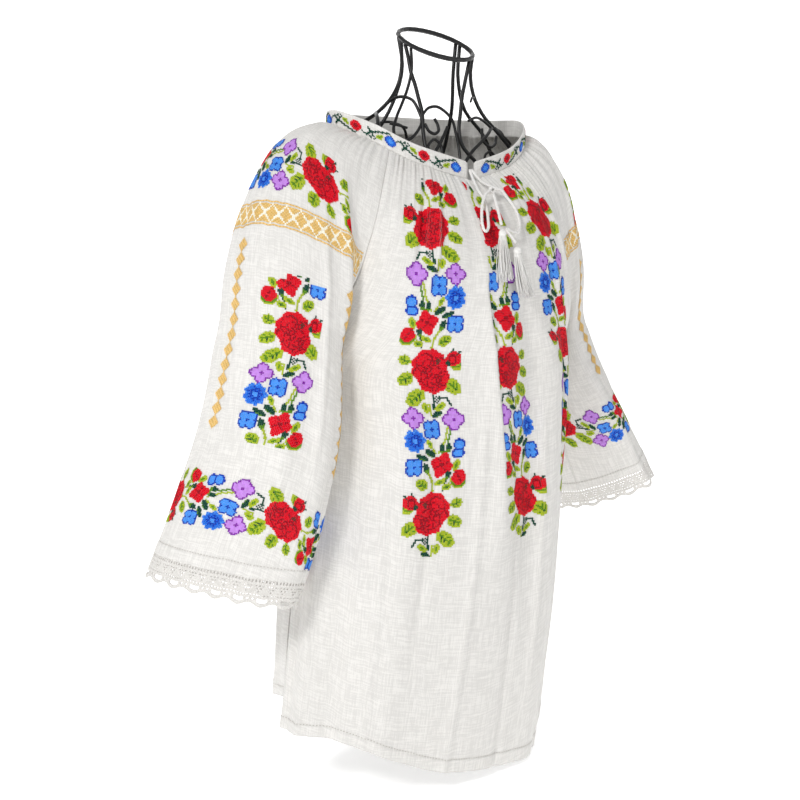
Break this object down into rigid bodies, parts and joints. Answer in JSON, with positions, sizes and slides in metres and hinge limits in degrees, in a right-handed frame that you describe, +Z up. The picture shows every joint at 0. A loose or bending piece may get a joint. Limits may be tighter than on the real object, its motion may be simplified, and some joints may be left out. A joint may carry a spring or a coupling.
{
  "type": "romanian ie blouse on a wire dress form",
  "caption": "Loose linen folk blouse with raglan sleeves, gathered neck band, tie with tassels, lace cuffs and side slits, worn by a limbless black wire dress form.",
  "frame": {"origin": "on the table, under the middle of the blouse and form without the tie", "axes": "+Z up, -Y to the wearer's front, +X to the wearer's left"},
  "size_m": [0.6146, 0.2716, 0.7647],
  "materials": {
    "linen": "matt off-white linen",
    "cotton_lace": "matt white cotton lace",
    "cotton_cord": "matt white twisted cotton",
    "black_wire": "satin black paint on steel wire"
  },
  "bodies": {
    "root": {"front": "linen", "back": "linen", "collar": "linen", "sleeve_right": "linen", "sleeve_left": "linen", "lace_right_front": "cotton_lace", "lace_right_back": "cotton_lace", "lace_left_front": "cotton_lace", "lace_left_back": "cotton_lace", "tie_loop_near": "cotton_cord", "tie_loop_far": "cotton_cord", "tie_drop_near": "cotton_cord", "tie_drop_far": "cotton_cord", "tie_knot_upper": "cotton_cord", "tassel_near": "cotton_cord", "tassel_far": "cotton_cord", "form_neck_ring": "black_wire", "form_rib_1": "black_wire", "form_rib_2": "black_wire", "form_rib_3": "black_wire", "form_rib_4": "black_wire", "form_rib_5": "black_wire", "form_rib_6": "black_wire", "form_rib_7": "black_wire", "form_rib_8": "black_wire", "form_hoop_bust": "black_wire", "form_hoop_waist": "black_wire", "form_hoop_hip": "black_wire", "form_base_ring": "black_wire"}
  },
  "joints": []
}
